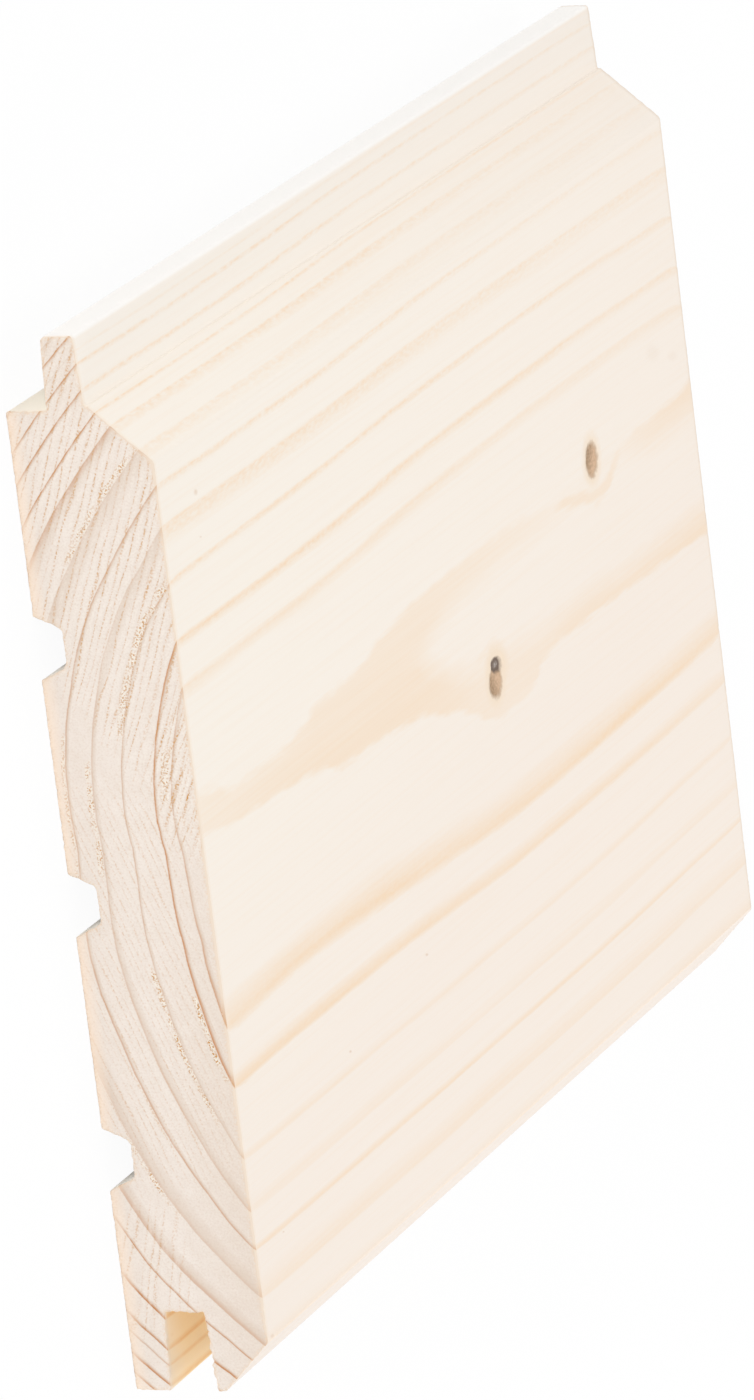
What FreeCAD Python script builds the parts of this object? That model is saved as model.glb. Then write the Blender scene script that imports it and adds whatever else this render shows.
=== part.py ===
import FreeCAD, Part
import math
import os

# Tongue and groove panelling board, planed from one piece of softwood, in a short sawn length.
# It lies on its back with the good face up. X runs along the grain, Y across the width towards
# the tongue, Z through the thickness. The origin is the middle of the footprint, on the floor.
# All sizes are in millimetres.

# Overall sizes
BOARD_LENGTH = 190.0
THICKNESS = 20.0
COVER_WIDTH = 135.5             # from the lips' ends to the face shoulder, what one board covers

# Tongue, a tapered rib that stands out of the shoulders
TONGUE_LENGTH = 9.5
TONGUE_ROOT_THICKNESS = 5.4
TONGUE_TIP_THICKNESS = 4.6
TONGUE_HEIGHT = 8.5             # middle of the tongue and of the groove, above the back
TONGUE_TIP_RADIUS = 0.6
TONGUE_ROOT_RADIUS = 0.25       # left by the cutter in the two shoulder corners
BACK_SHOULDER_SETBACK = 0.4     # keeps the back of a joint open, so that its face closes tight

# Groove, which takes the next board's tongue
JOINT_CLEARANCE = 0.65          # gap on each side of the tongue
GROOVE_SPARE_DEPTH = 1.6        # gap in front of the tongue's tip
GROOVE_FLOOR_RADIUS = 0.3

# Face bevels, which make a V between two boards
FACE_SHOULDER = 0.5             # flat left between the tongue and its bevel
TONGUE_BEVEL_WIDTH = 7.6
LIP_NOSE = 1.25                 # blunt end of the face lip, between the groove and its bevel
LIP_NOSE_RADIUS = 0.6
LIP_BEVEL_WIDTH = 6.9
FACE_EDGE_RADIUS = 1.0

# Relief grooves along the back, which keep the board from cupping
RELIEF_COUNT = 3
RELIEF_PITCH = 35.3
RELIEF_WIDTH = 8.7              # at the back
RELIEF_FLOOR_WIDTH = 5.2
RELIEF_DEPTH = 3.9
RELIEF_FLOOR_RADIUS = 1.4
BACK_EDGE_RADIUS = 0.3


def groove_half_width(depth):
    """Half the groove's width at a depth: the tapered tongue's own half, grown by the clearance."""
    taper = (TONGUE_ROOT_THICKNESS - TONGUE_TIP_THICKNESS) / TONGUE_LENGTH
    return (TONGUE_ROOT_THICKNESS - taper * depth) / 2 + JOINT_CLEARANCE


def back_corners():
    """The back, from the groove's lip to the back shoulder, with the relief grooves cut into it."""
    corners = [(0.0, 0.0, BACK_EDGE_RADIUS)]
    first_middle = COVER_WIDTH / 2 - RELIEF_PITCH * (RELIEF_COUNT - 1) / 2
    for index in range(RELIEF_COUNT):
        middle = first_middle + RELIEF_PITCH * index
        corners += [
            (middle - RELIEF_WIDTH / 2, 0.0, BACK_EDGE_RADIUS),
            (middle - RELIEF_FLOOR_WIDTH / 2, RELIEF_DEPTH, RELIEF_FLOOR_RADIUS),
            (middle + RELIEF_FLOOR_WIDTH / 2, RELIEF_DEPTH, RELIEF_FLOOR_RADIUS),
            (middle + RELIEF_WIDTH / 2, 0.0, BACK_EDGE_RADIUS),
        ]
    return corners + [(COVER_WIDTH - BACK_SHOULDER_SETBACK, 0.0, BACK_EDGE_RADIUS)]


def tongue_corners():
    """The tongue between its two shoulders, from the back side to the face side."""
    tip = COVER_WIDTH + TONGUE_LENGTH
    root_half = TONGUE_ROOT_THICKNESS / 2
    tip_half = TONGUE_TIP_THICKNESS / 2
    return [
        (COVER_WIDTH - BACK_SHOULDER_SETBACK, TONGUE_HEIGHT - root_half, TONGUE_ROOT_RADIUS),
        (tip, TONGUE_HEIGHT - tip_half, TONGUE_TIP_RADIUS),
        (tip, TONGUE_HEIGHT + tip_half, TONGUE_TIP_RADIUS),
        (COVER_WIDTH, TONGUE_HEIGHT + root_half, TONGUE_ROOT_RADIUS),
    ]


def face_corners():
    """The face with its two bevels, from the tongue's shoulder to the lip's nose."""
    shoulder_top = TONGUE_HEIGHT + TONGUE_ROOT_THICKNESS / 2 + FACE_SHOULDER
    nose_top = TONGUE_HEIGHT + groove_half_width(0.0) + LIP_NOSE
    return [
        (COVER_WIDTH, shoulder_top, 0.0),
        (COVER_WIDTH - TONGUE_BEVEL_WIDTH, THICKNESS, FACE_EDGE_RADIUS),
        (LIP_BEVEL_WIDTH, THICKNESS, FACE_EDGE_RADIUS),
        (0.0, nose_top, LIP_NOSE_RADIUS),
    ]


def groove_corners():
    """The groove, from the face lip's nose in to its floor and out to the back lip."""
    depth = TONGUE_LENGTH + GROOVE_SPARE_DEPTH
    mouth_half = groove_half_width(0.0)
    floor_half = groove_half_width(depth)
    return [
        (0.0, TONGUE_HEIGHT + mouth_half, LIP_NOSE_RADIUS),
        (depth, TONGUE_HEIGHT + floor_half, GROOVE_FLOOR_RADIUS),
        (depth, TONGUE_HEIGHT - floor_half, GROOVE_FLOOR_RADIUS),
        (0.0, TONGUE_HEIGHT - mouth_half, BACK_EDGE_RADIUS),
    ]


def rounded_wire(corners):
    """A closed wire through (point, radius) corners: straight runs joined by tangent arcs."""
    stops = []
    for index, (corner, radius) in enumerate(corners):
        to_last = (corners[index - 1][0] - corner).normalize()
        to_next = (corners[(index + 1) % len(corners)][0] - corner).normalize()
        half_angle = to_last.getAngle(to_next) / 2
        reach = radius / math.tan(half_angle)
        inward = (to_last + to_next).normalize()
        nearest = corner + inward * (radius / math.sin(half_angle) - radius)
        stops.append((corner + to_last * reach, nearest, corner + to_next * reach, radius))
    edges = []
    for index, (start, middle, end, radius) in enumerate(stops):
        if radius > 0.0:
            edges.append(Part.Arc(start, middle, end).toShape())
        next_start = stops[(index + 1) % len(stops)][0]
        edges.append(Part.LineSegment(end, next_start).toShape())
    return Part.Wire(edges)


def board():
    """The section, drawn at the sawn end, pushed along the grain."""
    middle = (COVER_WIDTH + TONGUE_LENGTH) / 2
    outline = back_corners() + tongue_corners() + face_corners() + groove_corners()
    section = rounded_wire(
        [(FreeCAD.Vector(-BOARD_LENGTH / 2, y - middle, z), radius) for y, z, radius in outline]
    )
    return Part.Face(section).extrude(FreeCAD.Vector(BOARD_LENGTH, 0.0, 0.0))


os.makedirs("parts", exist_ok=True)
solid = board()
solid.exportStep("parts/board.step")
box = solid.BoundBox
print("board", box.XLength, box.YLength, box.ZLength, "volume", solid.Volume, "valid", solid.isValid())
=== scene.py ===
import bmesh
import bpy
import math
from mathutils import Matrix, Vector, kdtree, noise


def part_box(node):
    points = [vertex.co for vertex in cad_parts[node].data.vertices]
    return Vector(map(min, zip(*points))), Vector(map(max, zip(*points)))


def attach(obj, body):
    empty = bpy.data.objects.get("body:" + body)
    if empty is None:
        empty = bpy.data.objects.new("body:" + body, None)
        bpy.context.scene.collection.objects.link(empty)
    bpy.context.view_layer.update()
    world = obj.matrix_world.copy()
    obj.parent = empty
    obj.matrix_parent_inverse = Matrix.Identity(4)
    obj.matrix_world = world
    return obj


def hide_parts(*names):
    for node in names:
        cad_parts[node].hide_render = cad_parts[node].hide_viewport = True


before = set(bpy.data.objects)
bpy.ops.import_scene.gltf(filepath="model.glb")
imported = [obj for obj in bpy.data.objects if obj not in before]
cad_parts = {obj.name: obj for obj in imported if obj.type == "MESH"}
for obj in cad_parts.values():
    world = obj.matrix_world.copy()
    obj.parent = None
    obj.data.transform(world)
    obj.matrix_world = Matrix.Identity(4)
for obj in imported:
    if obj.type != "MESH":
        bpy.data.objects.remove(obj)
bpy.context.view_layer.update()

# Planed length: one stick of spruce, run through a moulder whose cutters plane the face, back, tongue and
# groove in one pass. Its long faces are smooth and straight, so they keep the frame's own section.
MM = 0.001
TOUCH = 0.001 * MM
LEVEL = math.radians(0.5)       # facets that bend less than this are one flat face
SHARP = math.radians(35)        # faces that bend more than this meet in a hard edge
SAWN, BROKEN = 1, 2             # material slots, after the planed skin's 0

board_low, board_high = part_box("board")
near_end, far_end = board_low.x, board_high.x
length = (far_end - near_end) / MM
thickness = round(board_high.z / MM, 3)

timber = bmesh.new()
timber.from_mesh(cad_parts["board"].data)
bmesh.ops.remove_doubles(timber, verts=timber.verts, dist=TOUCH)
bmesh.ops.dissolve_limit(timber, angle_limit=LEVEL, verts=timber.verts, edges=timber.edges)


def pieces_of(faces):
    """Faces with all their edges and corners, as the cutting operators take them."""
    edges = dict.fromkeys(edge for face in faces for edge in face.edges)
    verts = dict.fromkeys(vert for face in faces for vert in face.verts)
    return [*verts, *edges, *faces]


def cut_lines(geom, axis, start, stop, pitch):
    """Cuts pieces along evenly spaced planes that stand across one axis, and returns what they become."""
    square = Vector((axis == "x", axis == "y", axis == "z"))
    for step in range(round((stop - start) / pitch) + 1):
        spot = square * (start + step * pitch)
        geom = bmesh.ops.bisect_plane(timber, geom=geom, dist=TOUCH, plane_co=spot, plane_no=square)["geom"]
    return geom


# Sawn ends: the board is cross-cut with a coarse saw, which breaks a narrow arris round each end, lifts
# fibres along it, and leaves shallow slanting scores across the end grain. Handling has worn the near edge
# of the face. Places on the section are in millimetres from the lips' ends and the back.
ARRIS = 0.1 * MM
WORN_ARRIS = 0.15 * MM          # what wear adds along the near edge of the face
WORN_HEIGHTS = (17.5, 19.8)     # heights between which that wear comes in
WORN_BY_LIPS = (5.0, 12.0)      # places across the board between which it comes in
WORN_EASES = (66.0, 76.0)       # and between which it eases
WORN_EASE = 0.7                 # share by which it eases
WORN_BY_TONGUE = (123.0, 127.0)  # places between which it comes back
END_BAND = 0.9 * MM             # strip of planed skin beside each arris
SAW_PITCH = 0.4 * MM            # mesh size of the sawn ends
SCORE_DEPTH = 0.07 * MM
LIP_SIDE_SLANT = math.radians(-20.0)
TONGUE_SIDE_SLANT = math.radians(22.0)
SLANTS_MEET = 75.0              # place across the board where the scores change their slant
# The scores' layers of noise: lumps for each millimetre along and across a score, a seed and a share.
SCORE_LAYERS = ((0.12, 1.1, 3.0, 1.0), (0.9, 1.6, 9.0, 0.5))
FUZZ = 0.1 * MM                 # how far the broken arris wanders along the board
FUZZ_AT_BACK = 2.5              # how many times as far along the back, where the saw comes out
BACK_FUZZ_TOP = 2.0             # height at which that ends
FRINGE = 0.45                   # width of the warm rim inside the arris
RAGGED = 0.09 * MM              # how far the rim strays in the plane of the end
RAGGED_LUMPS = 1.5              # lumps of that for each millimetre
RAGGED_BACK = 0.09 * MM         # what the back and the relief grooves add to it
BACK_STOPS = (4.2, 4.8)         # heights between which they stop adding to it
RAGGED_GROOVE = 0.25 * MM       # what the groove adds
GROOVE_STOPS = (11.5, 12.5)     # places across the board between which the groove stops adding
GROOVE_FOOT = (4.0, 5.0)        # heights between which it starts
GROOVE_TOP = (12.0, 13.0)       # and heights between which it stops
RAGGED_REACH = 1.5              # distance from the rim at which the straying stops

timber.normal_update()
for face in [face for face in timber.faces if abs(face.normal.x) > 0.99]:
    inward = -math.copysign(ARRIS, face.normal.x)
    ring = bmesh.ops.inset_region(timber, faces=[face], thickness=ARRIS, use_even_offset=True)["faces"]
    outline = dict.fromkeys(vert for side in ring for vert in side.verts if vert not in face.verts)
    bmesh.ops.translate(timber, verts=list(outline), vec=(inward, 0.0, 0.0))
    face.material_index = SAWN
    for side in ring:
        side.material_index = BROKEN

for band in (near_end + END_BAND, far_end - END_BAND):
    cut_lines(timber.verts[:] + timber.edges[:] + timber.faces[:], "x", band, band, END_BAND)
for end in (near_end, far_end):
    cut = [face for face in timber.faces if abs(face.calc_center_median().x - end) < END_BAND]
    skin = cut_lines(pieces_of(cut), "y", board_low.y + SAW_PITCH, board_high.y - SAW_PITCH / 2, SAW_PITCH)
    cut_lines(skin, "z", board_low.z + SAW_PITCH, board_high.z - SAW_PITCH / 2, SAW_PITCH)


def ramp(value, start, stop):
    """Nothing before start, one after stop, and an even rise between them."""
    return min(max((value - start) / (stop - start), 0.0), 1.0)


def grit(across, up, lumps, seed):
    """Noise about nothing over the section, with so many lumps for each millimetre."""
    return noise.noise(Vector((across * lumps, up * lumps, seed)))


broken = [face for face in timber.faces if face.material_index == BROKEN]
rim_verts = dict.fromkeys(vert for face in broken for vert in face.verts)
rim_tree = kdtree.KDTree(len(rim_verts))
for index, vert in enumerate(rim_verts):
    rim_tree.insert(vert.co, index)
rim_tree.balance()
rim_layer = timber.verts.layers.float.new("rim")
for vert in timber.verts:
    depth = min(abs(vert.co.x - near_end), abs(vert.co.x - far_end))
    if depth > END_BAND - TOUCH:
        continue
    across, up = (vert.co.y - board_low.y) / MM, vert.co.z / MM
    to_middle = -math.copysign(1.0, vert.co.x)
    from_rim = rim_tree.find(vert.co)[2] / MM
    vert[rim_layer] = 1.0 - ramp(from_rim, 0.0, FRINGE)

    if vert in rim_verts:
        fray = grit(across, up, 1.3, 5.0) + 0.5 * grit(across, up, 3.1, 7.0)
        more_at_back = FUZZ_AT_BACK - (FUZZ_AT_BACK - 1.0) * ramp(up, 0.0, BACK_FUZZ_TOP)
        vert.co.x += to_middle * FUZZ * more_at_back * ramp(fray, -0.35, 0.65)
    else:
        slant = TONGUE_SIDE_SLANT if across > SLANTS_MEET else LIP_SIDE_SLANT
        run = across * math.cos(slant) + up * math.sin(slant)
        rise = up * math.cos(slant) - across * math.sin(slant)
        mark = 0.0
        for run_lumps, rise_lumps, seed, share in SCORE_LAYERS:
            mark += share * noise.noise(Vector((run * run_lumps, rise * rise_lumps, seed)))
        vert.co.x += to_middle * SCORE_DEPTH * ramp(mark, -0.5, 0.5)

    # The near edge is worn most on the lips' half of the face, and again on the tongue's bevel.
    if vert.co.x < 0.0 and up > WORN_HEIGHTS[0]:
        worn = ramp(across, *WORN_BY_LIPS) * (1.0 - WORN_EASE * ramp(across, *WORN_EASES))
        worn += ramp(across, *WORN_BY_TONGUE)
        on_skin = min(depth / ARRIS, 1.0)
        vert.co.x += WORN_ARRIS * worn * on_skin * (1.0 - ramp(depth, ARRIS, END_BAND))
        vert.co.z -= WORN_ARRIS * worn * (1.0 - on_skin) * ramp(up, *WORN_HEIGHTS)

    by_back = 1.0 - ramp(up, *BACK_STOPS)
    by_groove = (1.0 - ramp(across, *GROOVE_STOPS)) * ramp(up, *GROOVE_FOOT) * (1.0 - ramp(up, *GROOVE_TOP))
    ragged = RAGGED + RAGGED_BACK * by_back + RAGGED_GROOVE * by_groove
    ragged *= 1.0 - ramp(from_rim, 0.0, RAGGED_REACH)
    stray_y = vert.co.y + ragged * grit(across, up, RAGGED_LUMPS, 11.0)
    stray_z = vert.co.z + ragged * grit(across, up, RAGGED_LUMPS, 13.0)
    vert.co.y = min(max(stray_y, board_low.y), board_high.y)
    vert.co.z = min(max(stray_z, board_low.z), board_high.z)

# Knots: two thin side branches cross the board from face to back. Their dry wood has shrunk a little below
# the planed face, most of all in the dark gap above the lower one.
# Each oval is its middle along the grain and across it, from the near corner of the lips, then its half
# sizes, its turn in degrees and how deep it lies. All lengths are in millimetres.
LOWER_KNOT = (103.8, 67.5, 2.4, 2.3, -10.0, 0.12)
LOWER_GAP = (104.9, 69.75, 2.1, 1.2, -12.0, 0.3)
UPPER_KNOT = (148.5, 87.5, 2.3, 2.6, -10.0, 0.15)
KNOT_PATCH = 5.0 * MM           # half the width of the finely cut patch round each knot
KNOT_PITCH = 0.3 * MM           # mesh size of that patch
KNOT_WAVER = 0.12               # how far a knot's edge strays from its oval, as a share of its size
KNOT_EDGE = (0.85, 1.1)         # shares of its size between which the face comes back up
KNOT_REACH = 0.6 * MM           # how far below the face a corner can lie and still sink with it

corner = Vector((near_end, board_low.y, 0.0))
for knot in (LOWER_KNOT, UPPER_KNOT):
    middle = corner + Vector((knot[0], knot[1], 0.0)) * MM
    on_face = [face for face in timber.faces if face.calc_center_median().z > board_high.z - TOUCH]
    patch = pieces_of(on_face)
    for axis, spot in (("x", middle.x), ("y", middle.y)):
        patch = cut_lines(patch, axis, spot - KNOT_PATCH, spot + KNOT_PATCH, 2 * KNOT_PATCH)
    inside = []
    for item in patch:
        if isinstance(item, bmesh.types.BMFace):
            off = item.calc_center_median() - middle
            if max(abs(off.x), abs(off.y)) < KNOT_PATCH:
                inside.append(item)
    patch = cut_lines(pieces_of(inside), "x", middle.x - KNOT_PATCH, middle.x + KNOT_PATCH, KNOT_PITCH)
    cut_lines(patch, "y", middle.y - KNOT_PATCH, middle.y + KNOT_PATCH, KNOT_PITCH)

for along, across, half_along, half_across, turn, sunk in (LOWER_KNOT, LOWER_GAP, UPPER_KNOT):
    middle = corner + Vector((along, across, 0.0)) * MM
    cosine, sine = math.cos(math.radians(turn)), math.sin(math.radians(turn))
    for vert in timber.verts:
        if vert.co.z < board_high.z - KNOT_REACH:
            continue
        off = (vert.co - middle) / MM
        run = (off.x * cosine + off.y * sine) / half_along
        rise = (off.y * cosine - off.x * sine) / half_across
        reach = math.hypot(run, rise) + KNOT_WAVER * grit(off.x, off.y, 0.9, 1.0)
        vert.co.z -= sunk * MM * (1.0 - ramp(reach, *KNOT_EDGE))

board_mesh = bpy.data.meshes.new("planed_board")
timber.to_mesh(board_mesh)
timber.free()
board_mesh.polygons.foreach_set("use_smooth", [True] * len(board_mesh.polygons))
board_mesh.set_sharp_from_angle(angle=SHARP)
board = bpy.data.objects.new("planed_board", board_mesh)
bpy.context.scene.collection.objects.link(board)
crisp = board.modifiers.new("crisp_faces", "WEIGHTED_NORMAL")
crisp.keep_sharp = True
crisp.weight = 90


def wire(tree, kind, inputs, output=0, **settings):
    """One node with its settings and inputs, each a value or another node's socket. Returns an output."""
    made = tree.nodes.new("ShaderNode" + kind)
    for name, value in settings.items():
        setattr(made, name, value)
    for key, value in inputs.items():
        if isinstance(value, bpy.types.NodeSocket):
            tree.links.new(value, made.inputs[key])
        else:
            made.inputs[key].default_value = value
    return made.outputs[output]


def sum_of(tree, first, second):
    return wire(tree, "Math", {0: first, 1: second}, operation="ADD")


def less(tree, first, second):
    return wire(tree, "Math", {0: first, 1: second}, operation="SUBTRACT")


def times(tree, first, second):
    return wire(tree, "Math", {0: first, 1: second}, operation="MULTIPLY")


def slope(tree, value, start, stop, low=0.0, high=1.0):
    """A ramp from low to high as value goes from start to stop, level on both sides."""
    return wire(tree, "MapRange", {"Value": value, 1: start, 2: stop, 3: low, 4: high})


def hump(tree, value, start, stop, soft):
    """One between start and stop, falling to nothing over a soft width on each side."""
    rise = slope(tree, value, start - soft, start)
    fall = slope(tree, value, stop, stop + soft, 1.0, 0.0)
    return times(tree, rise, fall)


def bend(tree, value, stations):
    """A smooth curve through (place, height) stations."""
    places, heights = zip(*stations)
    first, last = places[0], places[-1]
    low, high = min(heights), max(heights)
    spots = [((spot - first) / (last - first), (height - low) / (high - low)) for spot, height in stations]
    made = tree.nodes.new("ShaderNodeFloatCurve")
    points = made.mapping.curves[0].points
    points[0].location, points[1].location = spots[0], spots[-1]
    for spot in spots[1:-1]:
        points.new(*spot)
    made.mapping.update()
    tree.links.new(slope(tree, value, first, last), made.inputs["Value"])
    return slope(tree, made.outputs[0], 0.0, 1.0, low, high)


def cloud(tree, place, lumps, detail=2.0):
    """Soft noise about 0.5, with so many lumps for each millimetre along each axis."""
    stretched = wire(tree, "Mapping", {"Vector": place, "Scale": lumps})
    return wire(tree, "TexNoise", {"Vector": stretched, "Scale": 1.0, "Detail": detail})


# Growth rings: the log's yearly layers run right through the board, so one field in space gives the lines
# of the end grain and the bands of the face. Each ring starts pale and ends in a hard dark edge.
# Lengths are in millimetres from the near end, the lips' ends and the back.
PITH_ABOVE_FACE = [(0, 68.45), (45, 68.2), (95, 67.55), (145, 67.4), (190, 68.05)]
PITH_ACROSS = [(0, 73.0), (45, 72.8), (95, 73.35), (145, 73.45), (190, 73.7)]
RING_WANDER = [
    (-5, -0.45), (12, 0.15), (30, 0.6), (45, 0.6), (57, 0.4), (66, 0.15), (73, -0.1), (77, 0.3),
    (81, 0.85), (88, 1.2), (100, 1.3), (115, 0.25), (130, -1.4), (148, -4.0),
]
RING_LEAN = [
    (-5, -1.85), (12, -1.5), (30, -0.3), (45, -0.15), (57, -0.8), (66, -0.5), (74, -0.05),
    (80, 0.3), (88, 0.0), (100, -0.15), (115, -0.25), (130, 0.0), (148, 0.1),
]
# How far the rings stray along the face, as (along, radius) stations, and where across it each stray holds.
FACE_SWAYS = (
    ([(0, -0.5), (30, -0.43), (60, -0.33), (100, -0.22), (140, -0.05), (160, 0.2), (175, 0.33),
      (190, 0.1)], -9.0, 34.5),
    ([(0, -0.44), (15, -0.17), (30, -0.04), (45, 0.0), (62, 0.08), (80, 0.04), (100, -0.14), (120, -0.14),
      (140, -0.08), (160, -0.02), (175, -0.03), (190, -0.4)], 38.0, 60.0),
    ([(0, 0.5), (50, 0.0), (140, 0.0), (160, 0.15), (175, 0.4), (190, 0.4)], 109.0, 113.0),
)
SWAY_FADE = 3.0                 # how softly a stray stops across the face
SWAY_FROM = 14.0                # height above the back at which the strays start
# Ripples in the rings: lumps for each millimetre along each axis, then how far the rings move.
RIPPLES = (((0.025, 0.12, 0.12), 0.15), ((0.15, 0.6, 0.6), 0.06), ((0.6, 3.0, 3.0), 0.05))
# Each ring's radius, then the width of its dark wood and that wood's depth of colour, towards the lips, in
# the middle of the board and towards the tongue.
RINGS = [
    (71.5, (1.0, 0.85), (0.6, 0.6), (0.75, 0.45)),
    (74.0, (0.85, 0.9), (0.5, 0.9), (0.65, 0.9)),
    (78.6, (0.55, 0.42), (0.45, 0.55), (0.55, 0.6)),
    (82.9, (1.3, 0.45), (0.7, 0.45), (1.8, 0.38)),
    (86.6, (0.65, 0.65), (0.5, 0.6), (0.65, 0.65)),
    (91.6, (2.2, 0.42), (2.2, 0.42), (2.4, 0.38)),
    (96.8, (1.7, 0.55), (1.7, 0.6), (1.8, 0.62)),
    (99.7, (0.4, 0.8), (0.4, 0.9), (0.45, 0.9)),
    (103.3, (0.55, 1.0), (0.55, 1.0), (0.55, 0.85)),
    (106.2, (0.5, 0.9), (0.5, 0.9), (0.45, 0.85)),
    (107.7, (0.3, 0.6), (0.3, 0.5), (0.25, 0.2)),
    (109.7, (0.55, 0.95), (0.5, 0.9), (0.5, 0.85)),
    (111.5, (0.45, 0.85), (0.45, 0.8), (0.45, 0.4)),
]
LIPS_TO_MIDDLE = (48.0, 68.0)   # where across the board the first values give way to the second
MIDDLE_TO_TONGUE = (95.0, 107.0)
RING_SWELL = 1.3                # how late in its width a ring's dark wood gathers
SAWN_RING_EDGE = 0.12           # how softly a ring's dark wood stops at the sawn ends
PLANED_RING_EDGE = 0.28         # and between them
SAWN_TO_PLANED = (0.3, 4.0)     # distances from an end between which the one gives way to the other

figure = bpy.data.node_groups.new("spruce_figure", "ShaderNodeTree")
figure.interface.new_socket(name="Place", in_out="OUTPUT", socket_type="NodeSocketVector")
for name in ("Along", "Across", "Up", "From End", "Radius", "Rings"):
    figure.interface.new_socket(name=name, in_out="OUTPUT", socket_type="NodeSocketFloat")

from_middle = wire(figure, "TexCoord", {}, "Object")
place = wire(figure, "Mapping", {"Vector": from_middle, "Location": -corner / MM, "Scale": (1 / MM,) * 3})
split = figure.nodes.new("ShaderNodeSeparateXYZ")
figure.links.new(place, split.inputs[0])
along, across, up = split.outputs
to_far_end = less(figure, length, along)
from_end = wire(figure, "Math", {0: along, 1: to_far_end}, operation="MINIMUM")

sideways = less(figure, across, bend(figure, along, PITH_ACROSS))
downwards = less(figure, less(figure, up, thickness), bend(figure, along, PITH_ABOVE_FACE))
from_pith = wire(figure, "CombineXYZ", {"Y": sideways, "Z": downwards})
radius = wire(figure, "VectorMath", {0: from_pith}, "Value", operation="LENGTH")
radius = less(figure, radius, bend(figure, across, RING_WANDER))
lean = times(figure, bend(figure, across, RING_LEAN), slope(figure, up, 0.0, thickness, -1.0, 1.0))
radius = less(figure, radius, lean)
for stations, start, stop in FACE_SWAYS:
    sway = times(figure, bend(figure, along, stations), hump(figure, across, start, stop, SWAY_FADE))
    radius = sum_of(figure, radius, times(figure, sway, slope(figure, up, SWAY_FROM, thickness)))
for lumps, shift in RIPPLES:
    radius = sum_of(figure, radius, slope(figure, cloud(figure, place, lumps), 0.0, 1.0, -shift, shift))

past_lips = slope(figure, across, *LIPS_TO_MIDDLE)
past_middle = slope(figure, across, *MIDDLE_TO_TONGUE)


def over_width(lips, middle, tongue):
    """A value that goes over the board's width from the lips' side, by its middle, to the tongue's side."""
    to_middle = slope(figure, past_lips, 0.0, 1.0, lips, middle)
    return slope(figure, past_middle, 0.0, 1.0, to_middle, tongue)


edge = slope(figure, from_end, *SAWN_TO_PLANED, SAWN_RING_EDGE, PLANED_RING_EDGE)
rings = 0.0
for ring, *zones in RINGS:
    inner = over_width(*[ring - width for width, depth in zones])
    swell = wire(figure, "Math", {0: slope(figure, radius, inner, ring), 1: RING_SWELL}, operation="POWER")
    stop = slope(figure, radius, ring, sum_of(figure, edge, ring), 1.0, 0.0)
    depth = over_width(*[depth for width, depth in zones])
    rings = sum_of(figure, rings, times(figure, times(figure, swell, stop), depth))

figure_out = figure.nodes.new("NodeGroupOutput")
for given, socket in zip((place, along, across, up, from_end, radius, rings), figure_out.inputs):
    figure.links.new(given, socket)


def paint(red, green, blue):
    """A colour as it looks on a screen, from 0 to 255, turned into the light that a shader takes."""
    light = [((part / 255 + 0.055) / 1.055) ** 2.4 for part in (red, green, blue)]
    return (*light, 1.0)


def coat(tree, under, share, over):
    """One colour laid over another by a share, each a colour or a socket."""
    made = tree.nodes.new("ShaderNodeMix")
    made.data_type = "RGBA"
    for socket, value in zip((made.inputs[0], made.inputs[6], made.inputs[7]), (share, under, over)):
        if isinstance(value, bpy.types.NodeSocket):
            tree.links.new(value, socket)
        else:
            socket.default_value = value
    return made.outputs[2]


def finish_of(name):
    """A new finish with the growth rings at hand: its material, tree, shader and the figure's sockets."""
    made = bpy.data.materials.new(name)
    made.use_nodes = True
    tree = made.node_tree
    grown = tree.nodes.new("ShaderNodeGroup")
    grown.node_tree = figure
    return made, tree, tree.nodes["Principled BSDF"], grown.outputs


# Planed skin: the cutters leave the wood clean and faintly silky. Where the face just grazes one ring, its
# dark wood spreads into a long pale orange flame with two arms, and the two knots lie on those arms.
# Each line of the flame is a list of (along, across) stations, and each strength of (along, share). The
# heart is the pale wood between the arms.
PALE_WOOD = paint(249, 241, 230)
# The next colour is painted shade, taken on towards the far end and the lips' side.
FAR_PAINTED_SHADE = paint(247, 236, 225)
DARK_WOOD = paint(245, 219, 189)
FLAME_TOP = [
    (0, 83.0), (7, 82.0), (14, 80.3), (28, 80.5), (36, 81.2), (46, 83.2), (53, 83.2), (64, 84.8),
    (77, 86.4), (100, 87.2), (118, 86.9), (135, 85.6), (150, 86.0), (163, 86.9), (180, 87.6), (190, 88.4),
]
FLAME_FOOT = [
    (0, 76.9), (14, 75.5), (27, 74.9), (41, 73.7), (48, 72.2), (58, 71.8), (66, 71.3), (75, 70.6),
    (83, 68.9), (92, 66.5), (96.5, 64.5), (101, 62.8), (106, 62.0), (113, 62.1), (118, 63.0), (122, 65.2),
    (128, 66.0), (159, 65.9), (190, 64.7),
]
HEART_TOP = [
    (0, 78.0), (73, 78.0), (83, 79.8), (92, 81.8), (101, 82.6), (118, 83.4), (140, 83.5), (150, 83.4),
    (157, 84.8), (163, 84.8), (172, 83.7), (190, 84.1),
]
HEART_FOOT = [
    (0, 80.5), (72, 80.5), (79, 77.6), (86, 74.7), (92, 72.4), (101, 70.9), (110, 70.6), (125, 69.6),
    (140, 69.6), (159, 68.7), (190, 68.7),
]
UPPER_STRENGTH = [
    (0, 0.3), (25, 0.4), (60, 0.42), (100, 0.35), (118, 0.3), (132, 0.21), (150, 0.1), (163, 0.3),
    (190, 0.56),
]
LOWER_STRENGTH = [
    (0, 0.34), (20, 0.48), (45, 0.6), (70, 0.6), (90, 0.48), (100, 0.36), (118, 0.34), (132, 0.5),
    (190, 0.6),
]
FLAME_JAG = 1.2                 # how far the flame's edges stray across the face
TOP_SOFT = (-0.4, 0.8)          # distances inside the flame's top between which it comes in
FOOT_SOFT = (-0.3, 0.7)         # and inside its foot
HEART_SOFT = 2.4                # how softly the heart starts
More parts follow.
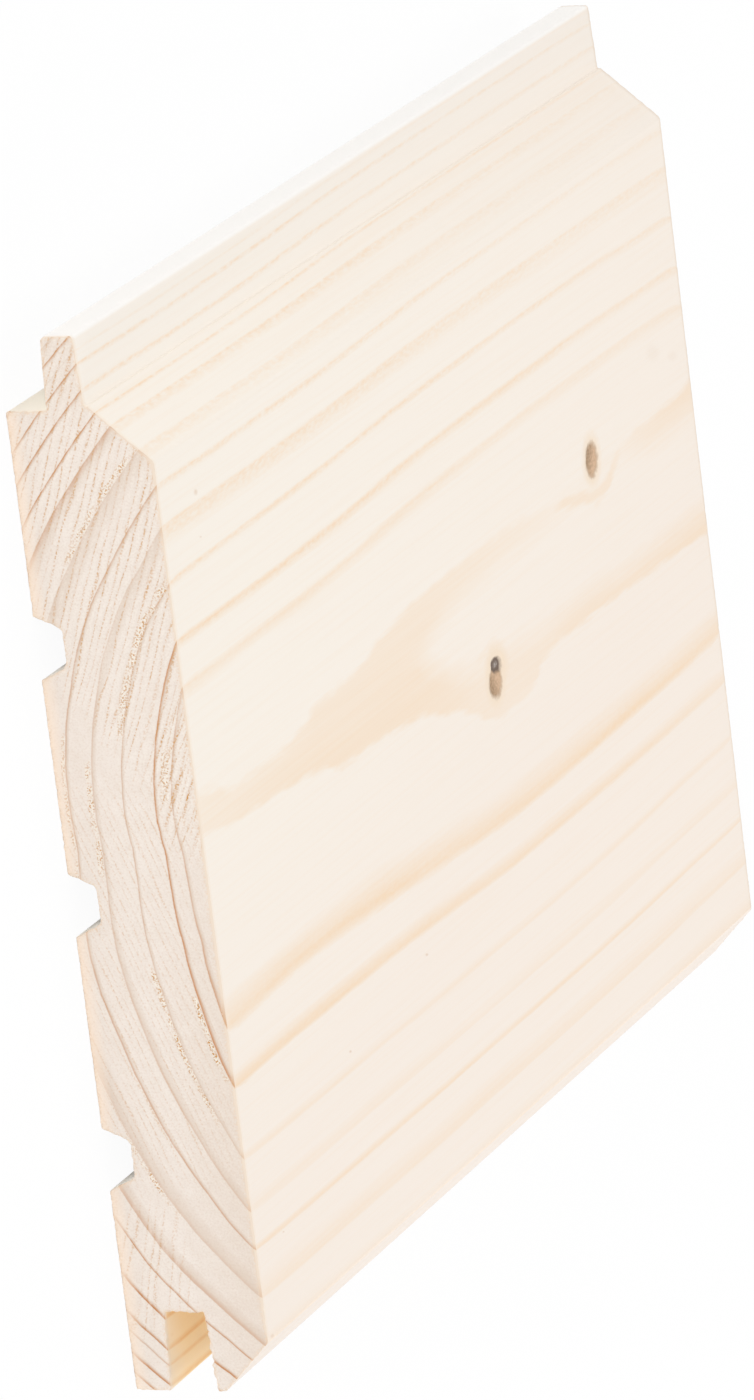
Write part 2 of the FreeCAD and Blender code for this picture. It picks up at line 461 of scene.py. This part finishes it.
FLAME_DEPTH = (18.8, 19.6)      # heights above the back between which the flame comes in
# How plainly the ring bands show over the face, as (across, share) stations.
BAND_STRENGTH = [
    (0, 0.9), (13, 0.87), (20, 1.08), (25.5, 0.53), (33, 0.9), (43, 1.1), (52, 0.96), (75, 1.0),
    (97.5, 0.84), (104, 0.92), (111.5, 1.03), (119, 1.25), (124.5, 0.77), (145, 0.9),
]
# What is left of that at the far end, and where along the board the bands fade to it.
FAR_BAND_SHARE = [
    (0, 0.85), (33, 0.8), (42, 0.58), (49, 0.92), (67, 0.85), (100, 0.68), (106, 0.58), (113, 0.56),
    (120, 0.6), (126, 0.45), (145, 0.6),
]
BAND_FADE = (50.0, 160.0)
BAND_SPREAD = 0.75              # power that spreads a band's dark wood towards its pale side
MOTTLE_ZONE = (90.0, 128.0)     # across the face towards the tongue, where the bands get more mottled
MOTTLE_LEAST = (0.88, 0.3)      # least share of a band that the mottle leaves, before that zone and past it
MOTTLE_MOST = (1.12, 1.6)       # and the most
FIBRE_SHARE = (-0.06, 0.1)      # what the fine fibre takes from the dark wood or adds to it
DRIFT_SLANT = 0.8               # the painted shade slants this far along the board for each step across
DRIFT_SPAN = (-60.0, 180.0)     # and it runs between these places
LIP_DRIFT = 0.75                # what the lips' side adds to it
LIP_DRIFT_SPAN = (25.0, 85.0)   # places across the board between which that fades
# Where the flame bends round a knot: its line, half its width and its share of dark wood.
KNOT_BENDS = (
    ([(94, 71.6), (99.5, 72.1), (103.7, 72.9), (107, 72.2), (111, 71.2)], 0.8, 0.22),
    ([(128, 84.9), (136, 84.4), (143, 83.4), (148.5, 82.2), (152, 82.4), (156, 84.2),
      (161, 86.4)], 1.1, 0.45),
)
BEND_CORE = 0.3                 # share of a bend's width at its full strength
BEND_FADE = 6.0                 # how softly a bend stops along the board

planed_skin, tree, shader, grown = finish_of("planed_spruce")
place, along, across, up = grown["Place"], grown["Along"], grown["Across"], grown["Up"]
jag = cloud(tree, place, (0.16, 0.9, 0.9), 3.0)
frayed = sum_of(tree, across, slope(tree, jag, 0.0, 1.0, -FLAME_JAG, FLAME_JAG))
top, foot = bend(tree, along, FLAME_TOP), bend(tree, along, FLAME_FOOT)
below_top = slope(tree, less(tree, top, frayed), *TOP_SOFT)
above_foot = slope(tree, less(tree, frayed, foot), *FOOT_SOFT)
below_heart_top = slope(tree, less(tree, bend(tree, along, HEART_TOP), frayed), -HEART_SOFT, HEART_SOFT)
above_heart_foot = slope(tree, less(tree, frayed, bend(tree, along, HEART_FOOT)), -HEART_SOFT, HEART_SOFT)
heart = times(tree, below_heart_top, above_heart_foot)
flame = times(tree, times(tree, below_top, above_foot), less(tree, 1.0, heart))
height = wire(tree, "Math", {0: less(tree, across, foot), 1: less(tree, top, foot)}, operation="DIVIDE")
lower, upper = bend(tree, along, LOWER_STRENGTH), bend(tree, along, UPPER_STRENGTH)
flame = times(tree, flame, slope(tree, height, 0.1, 0.9, lower, upper))


def oval(tree, place, knot, half_along, half_across):
    """How far out a point is on an oval about a knot: 0 in its middle, 1 at its edge."""
    inputs = {
        "Vector": place,
        "Location": (knot[0], knot[1], 0.0),
        "Rotation": (0.0, 0.0, math.radians(knot[4])),
        "Scale": (half_along, half_across, 1e6),
    }
    centred = wire(tree, "Mapping", inputs, vector_type="TEXTURE")
    return wire(tree, "VectorMath", {0: centred}, "Value", operation="LENGTH")


for stations, half_width, share in KNOT_BENDS:
    off = less(tree, frayed, bend(tree, along, stations))
    core = BEND_CORE * half_width
    band = times(tree, hump(tree, off, -core, core, half_width), share)
    band = times(tree, band, hump(tree, along, stations[1][0], stations[-2][0], BEND_FADE))
    flame = wire(tree, "Math", {0: flame, 1: band}, operation="MAXIMUM")
flame = times(tree, flame, slope(tree, up, *FLAME_DEPTH))

bands = wire(tree, "Math", {0: grown["Rings"], 1: BAND_SPREAD}, operation="POWER")
fade = slope(tree, along, *BAND_FADE, 1.0, bend(tree, across, FAR_BAND_SHARE))
bands = times(tree, times(tree, bands, bend(tree, across, BAND_STRENGTH)), fade)
bands = times(tree, bands, slope(tree, cloud(tree, place, (0.03, 0.3, 0.3)), 0.3, 0.7, 0.75, 1.1))
least = slope(tree, across, *MOTTLE_ZONE, *MOTTLE_LEAST)
most = slope(tree, across, *MOTTLE_ZONE, *MOTTLE_MOST)
mottle = cloud(tree, place, (0.7, 1.8, 1.8), 3.0)
bands = times(tree, bands, slope(tree, mottle, 0.32, 0.68, least, most))
fibre = cloud(tree, place, (0.03, 2.0, 2.0), 3.0)
dark_share = sum_of(tree, sum_of(tree, bands, flame), slope(tree, fibre, 0.3, 0.7, *FIBRE_SHARE))
# Painted shade: the pale wood darkens slowly towards the far end and towards the lips' side.
painted_shade_drift = slope(tree, less(tree, along, times(tree, across, DRIFT_SLANT)), *DRIFT_SPAN)
painted_shade_drift = sum_of(tree, painted_shade_drift, slope(tree, across, *LIP_DRIFT_SPAN, LIP_DRIFT, 0.0))
wood = coat(tree, coat(tree, PALE_WOOD, painted_shade_drift, FAR_PAINTED_SHADE), dark_share, DARK_WOOD)

# Knot wood: brown and dry, with painted shade on one side, in a warm halo. The gap above the lower knot is
# painted dark as the shade in its depth, with dust in it.
KNOT_HALO = paint(245, 226, 203)
KNOT_WOOD = paint(214, 180, 148)
# Painted shade for one side of each knot:
KNOT_PAINTED_SHADE = paint(160, 130, 100)
# Painted shade for the gap's depth:
GAP_PAINTED_SHADE = paint(112, 95, 83)
GAP_DUST = paint(216, 208, 202)
GAP_HALO = 0.7                  # how much larger than the gap the ring is that its halo starts from
# Shares of an oval's size between which each of these fades outwards.
HALO_FADE = (1.0, 1.8)
PAINTED_SHADE_FADE = (0.72, 1.15)
WOOD_FADE = (0.75, 1.05)
GAP_SHADE_FADE = (0.7, 1.1)
DUST_FADE = (0.1, 0.5)
HALO_SHARE = 0.95
DUST_SHARE = 0.8
PAINTED_LIT_SPAN = (-2.2, 1.4)          # places from a knot's middle where its painted shade gives way to its wood
uneven = slope(tree, cloud(tree, place, (1.0, 1.0, 0.05), 3.0), 0.0, 1.0, -0.25, 0.25)
speckle = slope(tree, cloud(tree, place, (2.2, 2.2, 0.1), 2.0), 0.3, 0.7)
for knot, growth in ((LOWER_KNOT, 0.0), (LOWER_GAP, GAP_HALO), (UPPER_KNOT, 0.0)):
    out = sum_of(tree, oval(tree, place, knot, knot[2] + growth, knot[3] + growth), uneven)
    wood = coat(tree, wood, slope(tree, out, *HALO_FADE, HALO_SHARE, 0.0), KNOT_HALO)
# Painted shade over each knot, then its wood over the side that is painted as lit.
for knot, lean in ((LOWER_KNOT, 0.5), (UPPER_KNOT, -0.6)):
    out = sum_of(tree, oval(tree, place, knot, knot[2], knot[3]), uneven)
    wood = coat(tree, wood, slope(tree, out, *PAINTED_SHADE_FADE, 1.0, 0.0), KNOT_PAINTED_SHADE)
    painted_lit_side = sum_of(tree, along, times(tree, across, lean))
    painted_lit_side = slope(tree, less(tree, painted_lit_side, knot[0] + lean * knot[1]), *PAINTED_LIT_SPAN)
    painted_lit_side = sum_of(tree, painted_lit_side, slope(tree, speckle, 0.0, 1.0, -0.3, 0.3))
    wood = coat(tree, wood, times(tree, slope(tree, out, *WOOD_FADE, 1.0, 0.0), painted_lit_side), KNOT_WOOD)
out = sum_of(tree, oval(tree, place, LOWER_GAP, LOWER_GAP[2], LOWER_GAP[3]), uneven)
# Painted shade in the gap above the lower knot, standing for the shade in its depth.
wood = coat(tree, wood, slope(tree, out, *GAP_SHADE_FADE, 1.0, 0.0), GAP_PAINTED_SHADE)
wood = coat(tree, wood, times(tree, slope(tree, out, *DUST_FADE, DUST_SHARE, 0.0), speckle), GAP_DUST)

# Small blemishes: resin flecks and handling marks on the planed face.
# Each is its place along and across, its half length, half width and strength.
FLECK = paint(196, 144, 78)
FLECK_TURN = -15.0              # in degrees
BLEMISHES = (
    (12.1, 120.6, 0.65, 0.45, 0.26), (11.8, 114.6, 0.4, 0.15, 0.2), (68.2, 39.0, 0.6, 0.2, 0.3),
    (38.6, 34.8, 0.5, 0.2, 0.3), (9.6, 19.2, 0.4, 0.15, 0.25), (1.8, 7.3, 0.7, 0.3, 0.2),
    (176.4, 95.9, 3.0, 1.3, 0.06), (184.0, 93.4, 2.0, 0.8, 0.06),
)
for fleck_along, fleck_across, half_along, half_across, share in BLEMISHES:
    fleck = (fleck_along, fleck_across, half_along, half_across, FLECK_TURN)
    out = sum_of(tree, oval(tree, place, fleck, half_along, half_across), uneven)
    wood = coat(tree, wood, slope(tree, out, 0.4, 1.2, share, 0.0), FLECK)

# Painted light and moulder's marks: the groove's walls are painted warm for light bounced round inside it,
# the tongue, the back shoulder under it and the relief grooves are painted paler as light against their
# shade, the lip bevel is painted with shade, and the fibres beside each sawn end are bruised. Each place,
# across the board or up from the back, is where the section has it, as a pair of values between which the
# mark comes in or stops.
# Painted warm bounce light for the groove's walls and for its rings:
GROOVE_WALL_PAINTED_BOUNCE = paint(255, 234, 198)
GROOVE_RING_PAINTED_BOUNCE = paint(242, 196, 132)
# Painted light against shade for the tongue, the back shoulder under it and the relief grooves:
TONGUE_PAINTED_LIGHT = paint(254, 251, 247)
SHOULDER_PAINTED_LIGHT = paint(255, 248, 235)
RELIEF_PAINTED_LIGHT = paint(254, 249, 240)
# Painted shade for the lip bevel:
LIP_BEVEL_PAINTED_SHADE = paint(232, 222, 213)
BRUISED_WOOD = paint(243, 227, 209)
GROOVE_FLOOR = (11.0, 11.4)
GROOVE_WALLS = (5.1, 11.9)
GROOVE_MOUTH = (0.0, 6.0)       # distances along between which the groove's painted bounce light grows
GROOVE_BOUNCE_SHARES = (0.6, 1.0)
LIP_BEVEL_TOP = (6.3, 6.9)
LIP_BEVEL_FOOT = (12.4, 13.0)
LIP_BEVEL_SHADE_SHARE = 0.6
BACK_SHOULDER = (134.8, 135.0)
TONGUE_UNDERSIDE = (6.2, 6.4)
RELIEF_SPREAD = (20.0, 125.0)
RELIEF_RISE = (0.2, 3.95)
FACE_SHOULDER = (135.4, 135.8)
TONGUE_LIGHT_SHARE = 0.15
TONGUE_TIP = (144.4, 144.8)
BRUISE = (0.1, 1.0)             # distances from an end between which the bruise fades
BRUISE_SHARE = 0.8
# Painted warm bounce light on the groove's walls, growing away from the near end.
walls = hump(tree, up, *GROOVE_WALLS, 0.1)
painted_groove_bounce = times(tree, slope(tree, across, *GROOVE_FLOOR, 1.0, 0.0), walls)
painted_groove_bounce = times(tree, painted_groove_bounce, slope(tree, along, *GROOVE_MOUTH, *GROOVE_BOUNCE_SHARES))
wood = coat(tree, wood, painted_groove_bounce, coat(tree, GROOVE_WALL_PAINTED_BOUNCE, bands, GROOVE_RING_PAINTED_BOUNCE))
# Painted shade on the lip bevel.
painted_lip_bevel_shade = times(tree, slope(tree, across, *LIP_BEVEL_TOP, 1.0, 0.0), slope(tree, up, *LIP_BEVEL_FOOT))
wood = coat(tree, wood, times(tree, painted_lip_bevel_shade, LIP_BEVEL_SHADE_SHARE), LIP_BEVEL_PAINTED_SHADE)
# Painted light on the back shoulder under the tongue, against the tongue's shadow.
below = slope(tree, up, *TONGUE_UNDERSIDE, 1.0, 0.0)
wood = coat(tree, wood, times(tree, slope(tree, across, *BACK_SHOULDER), below), SHOULDER_PAINTED_LIGHT)
# Painted light in the relief grooves, against the shade inside them.
painted_relief_light = times(tree, hump(tree, across, *RELIEF_SPREAD, 1.0), hump(tree, up, *RELIEF_RISE, 0.1))
wood = coat(tree, wood, painted_relief_light, RELIEF_PAINTED_LIGHT)
# Painted light on the tongue's face and, in full, on its tip.
wood = coat(tree, wood, slope(tree, across, *FACE_SHOULDER, 0.0, TONGUE_LIGHT_SHARE), TONGUE_PAINTED_LIGHT)
wood = coat(tree, wood, slope(tree, across, *TONGUE_TIP), TONGUE_PAINTED_LIGHT)
wood = coat(tree, wood, slope(tree, grown["From End"], *BRUISE, BRUISE_SHARE, 0.0), BRUISED_WOOD)
tree.links.new(wood, shader.inputs["Base Color"])
shader.inputs["Roughness"].default_value = 0.6
shader.inputs["Specular IOR Level"].default_value = 0.25
silk = cloud(tree, place, (0.06, 5.0, 5.0), 3.0)
grain_bump = wire(tree, "Bump", {"Height": silk, "Strength": 0.25, "Distance": 0.05 * MM})
tree.links.new(grain_bump, shader.inputs["Normal"])

# Sawn end grain: greyish pink and matt, with the rings as soft brown bands that end in hard orange lines.
# The saw's scores slant across them, and rows of small torn pits lie beside some of the rings.
END_PALE = paint(240, 230, 221)
END_BAND_WOOD = paint(215, 193, 173)
END_LINE = paint(198, 126, 62)
END_SCORE = paint(208, 152, 78)
END_PIT = paint(206, 152, 82)
END_TOOTH = paint(247, 239, 229)
END_CRUMB = paint(252, 244, 228)
END_RIM = paint(240, 216, 190)
END_DUSK = paint(234, 221, 209)
# Painted light for the end near the back:
END_BACK_PAINTED_LIGHT = paint(255, 236, 217)

sawn_end, tree, shader, grown = finish_of("sawn_spruce")
place, across, up, radius = grown["Place"], grown["Across"], grown["Up"], grown["Radius"]
dots = cloud(tree, place, (3.4, 3.4, 3.4), 2.0)


def saw_scores(slant, pitch, zone, depth):
    """The saw's scores in one zone: slanting rows of dark specks a pitch apart, with pale specks between."""
    turned = wire(tree, "Mapping", {"Vector": place, "Rotation": (math.radians(-slant), 0.0, 0.0)})
    turned_parts = tree.nodes.new("ShaderNodeSeparateXYZ")
    tree.links.new(turned, turned_parts.inputs[0])
    waver = slope(tree, cloud(tree, turned, (0.1, 0.05, 0.4)), 0.0, 1.0, -1.0, 1.0)
    steps = sum_of(tree, times(tree, turned_parts.outputs["Z"], 1.0 / pitch), waver)
    step = wire(tree, "Math", {0: steps}, operation="FRACT")
    share = slope(tree, cloud(tree, turned, (0.1, 0.08, 0.8), 3.0), 0.38, 0.58, 0.35, 1.0)
    share = times(tree, share, times(tree, zone, depth))
    dark = times(tree, hump(tree, step, 0.12, 0.17, 0.12), slope(tree, dots, 0.44, 0.58, 0.1, 1.35))
    pale = times(tree, hump(tree, step, 0.5, 0.75, 0.2), slope(tree, dots, 0.36, 0.6, 1.0, 0.3))
    return times(tree, dark, share), times(tree, pale, share)


tongue_zone = slope(tree, sum_of(tree, across, times(tree, up, 1.3)), 98.0, 106.0)
middle_zone = times(tree, hump(tree, across, 34.0, 80.0, 8.0), slope(tree, up, 13.0, thickness, 1.0, 0.3))
lip_zone = times(tree, hump(tree, across, 10.0, 24.0, 4.0), slope(tree, up, 8.0, 11.0, 1.0, 0.0))
face_zone = times(tree, hump(tree, across, 77.0, 92.0, 4.0), slope(tree, radius, 71.5, 74.5, 1.0, 0.0))
# Each set of scores: its slant in degrees, its pitch, its zone and how plain it is.
SCORES = (
    (21.5, 1.15, tongue_zone, 0.52), (-21.0, 1.0, middle_zone, 0.27), (14.0, 1.4, lip_zone, 0.35),
    (26.0, 1.4, face_zone, 0.55),
)
cut, lifted = 0.0, 0.0
for scores in SCORES:
    dark, pale = saw_scores(*scores)
    cut = sum_of(tree, cut, dark)
    lifted = sum_of(tree, lifted, pale)

blotches = slope(tree, cloud(tree, place, (0.4, 0.4, 0.4), 4.0), 0.35, 0.7, 0.0, 0.14)
dusk = times(tree, slope(tree, up, 10.0, 18.0), slope(tree, across, 45.0, 75.0, 1.0, 0.3))
dusk = sum_of(tree, dusk, slope(tree, across, 133.0, 136.0, 0.0, 0.55))
wood = coat(tree, coat(tree, END_PALE, dusk, END_DUSK), blotches, END_BAND_WOOD)
wood = coat(tree, wood, slope(tree, dots, 0.52, 0.7, 0.0, 0.25), END_BAND_WOOD)
wood = coat(tree, wood, slope(tree, dots, 0.3, 0.46, 0.25, 0.0), END_TOOTH)
end_bands = wire(tree, "Math", {0: grown["Rings"], 1: 0.62}, operation="POWER")
wood = coat(tree, wood, end_bands, END_BAND_WOOD)
wood = coat(tree, wood, slope(tree, grown["Rings"], 0.3, 0.95, 0.0, 0.92), END_LINE)
wood = coat(tree, wood, cut, END_SCORE)
wood = coat(tree, wood, times(tree, lifted, 0.8), END_TOOTH)

# Torn rows: the ring that each lies along, how far out it reaches, where it starts and stops across the
# board, and how plain it is.
TORN_ROWS = (
    (78.7, 0.5, 39.0, 58.0, 1.2), (78.5, 0.95, 92.0, 111.0, 1.0), (74.3, 0.55, 45.0, 54.0, 1.6),
    (91.8, 0.7, 116.0, 130.0, 1.0), (91.7, 0.5, 26.0, 34.0, 1.0), (72.0, 1.0, 83.0, 88.0, 1.0),
    (83.1, 0.7, 73.0, 86.0, 1.0), (86.8, 0.4, 71.0, 90.0, 0.9),
)
torn = 0.0
for ring, reach, start, stop, plainness in TORN_ROWS:
    row = times(tree, hump(tree, radius, ring, ring + reach, 0.15), hump(tree, across, start, stop, 2.0))
    torn = sum_of(tree, torn, times(tree, row, plainness))
torn = times(tree, torn, slope(tree, cloud(tree, place, (0.5, 0.5, 0.5), 1.0), 0.36, 0.56, 0.2, 1.0))
pits = cloud(tree, place, (3.8, 3.8, 3.8), 1.0)
holes = slope(tree, pits, 0.51, 0.62)
teeth = slope(tree, pits, 0.4, 0.51, 1.0, 0.0)
wood = coat(tree, wood, times(tree, torn, times(tree, holes, 0.8)), END_PIT)
wood = coat(tree, wood, times(tree, torn, times(tree, teeth, 0.5)), END_CRUMB)
# Painted light: the end grows paler towards the back, against the shade of the floor it lies on.
wood = coat(tree, wood, slope(tree, up, 0.3, 2.2, 0.75, 0.0), END_BACK_PAINTED_LIGHT)
rim = wire(tree, "Attribute", {}, "Fac", attribute_name="rim")
wood = coat(tree, wood, times(tree, rim, slope(tree, dots, 0.35, 0.65, 0.0, 0.8)), END_RIM)
tree.links.new(wood, shader.inputs["Base Color"])
shader.inputs["Roughness"].default_value = 0.8
shader.inputs["Specular IOR Level"].default_value = 0.15
relief = less(tree, less(tree, dots, times(tree, torn, holes)), cut)
sawn_bump = wire(tree, "Bump", {"Height": relief, "Strength": 0.4, "Distance": 0.15 * MM})
tree.links.new(sawn_bump, shader.inputs["Normal"])

# Broken arris: the torn edge round each end, as matt as the end grain, pale between the rings and brown on
# them.
ARRIS_PALE = paint(238, 221, 203)
ARRIS_DARK = paint(208, 156, 108)
broken_arris, tree, shader, grown = finish_of("broken_spruce")
tree.links.new(coat(tree, ARRIS_PALE, grown["Rings"], ARRIS_DARK), shader.inputs["Base Color"])
shader.inputs["Roughness"].default_value = 0.8
shader.inputs["Specular IOR Level"].default_value = 0.15

for finish in (planed_skin, sawn_end, broken_arris):
    board_mesh.materials.append(finish)
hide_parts("board")
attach(board, "root")

# Floor: a plain white sweep, painted matt, that the board lies loose on. It looks white to the camera and
# keeps a faint shadow of the board. Its size is in metres.
FLOOR_HALF_SIZE = 4.0
FLOOR_PAINT = (0.97, 0.97, 0.97, 1.0)
FLOOR_GLOW = 0.95               # share of plain white in what the camera sees of it
WHITE = (1.0, 1.0, 1.0, 1.0)
floor_sheet = bmesh.new()
bmesh.ops.create_grid(floor_sheet, x_segments=1, y_segments=1, size=FLOOR_HALF_SIZE)
floor_mesh = bpy.data.meshes.new("floor")
floor_sheet.to_mesh(floor_mesh)
floor_sheet.free()
floor = bpy.data.objects.new("floor", floor_mesh)
bpy.context.scene.collection.objects.link(floor)


def seen_directly(tree):
    """One for a ray that shows a thing as it is: from the camera, off a gloss or through glass."""
    ray = tree.nodes.new("ShaderNodeLightPath").outputs
    seen = sum_of(tree, ray["Is Camera Ray"], ray["Is Glossy Ray"])
    return sum_of(tree, seen, ray["Is Transmission Ray"])


white_sweep = bpy.data.materials.new("white_sweep")
white_sweep.use_nodes = True
tree = white_sweep.node_tree
tree.nodes.clear()
lit = wire(tree, "BsdfDiffuse", {"Color": FLOOR_PAINT})
glow = wire(tree, "Emission", {"Color": WHITE, "Strength": 1.0})
sweep = wire(tree, "MixShader", {0: times(tree, seen_directly(tree), FLOOR_GLOW), 1: lit, 2: glow})
tree.links.new(sweep, tree.nodes.new("ShaderNodeOutputMaterial").inputs["Surface"])
floor_mesh.materials.append(white_sweep)

# Studio light: an even white surround, with a soft lamp low on each side of the board and one overhead.
# Each lamp has its place in metres and its power in watts.
SURROUND = 0.7
LAMP_WIDTH = 1.0
LAMPS = {
    "low_lamp": ((-1.2, 1.1, 0.2), 8.8),
    "high_lamp": ((0.3, -0.2, 1.5), 5.2),
    "groove_lamp": ((-0.3, -1.3, 0.3), 5.0),
}
scene = bpy.context.scene
scene.view_settings.view_transform = "Standard"
studio = bpy.data.worlds.new("studio")
studio.use_nodes = True
scene.world = studio
tree = studio.node_tree
surround = tree.nodes["Background"].inputs
surround["Color"].default_value = WHITE
tree.links.new(slope(tree, seen_directly(tree), 0.0, 1.0, SURROUND, 1.0), surround["Strength"])
for name, (spot, power) in LAMPS.items():
    light = bpy.data.lights.new(name, "AREA")
    light.shape = "DISK"
    light.size = LAMP_WIDTH
    light.energy = power
    lamp = bpy.data.objects.new(name, light)
    lamp.location = spot
    lamp.rotation_euler = (-lamp.location).to_track_quat("-Z", "Y").to_euler()
    scene.collection.objects.link(lamp)

# Camera: far off with a long lens, rolled so that the board's width stands upright in the picture.
# Its place is in metres, and its lens and sensor are in millimetres.
CAMERA_PLACE = (-1.2784, 0.3698, 0.5674)
CAMERA_TURN = (1.508, -67.123, -17.968)     # in degrees
LENS = 266.3
SENSOR_WIDTH = 36.0
eye = bpy.data.cameras.new("camera")
eye.lens = LENS
eye.sensor_width = SENSOR_WIDTH
camera = bpy.data.objects.new("camera", eye)
camera.location = CAMERA_PLACE
camera.rotation_euler = [math.radians(angle) for angle in CAMERA_TURN]
scene.collection.objects.link(camera)
scene.camera = camera
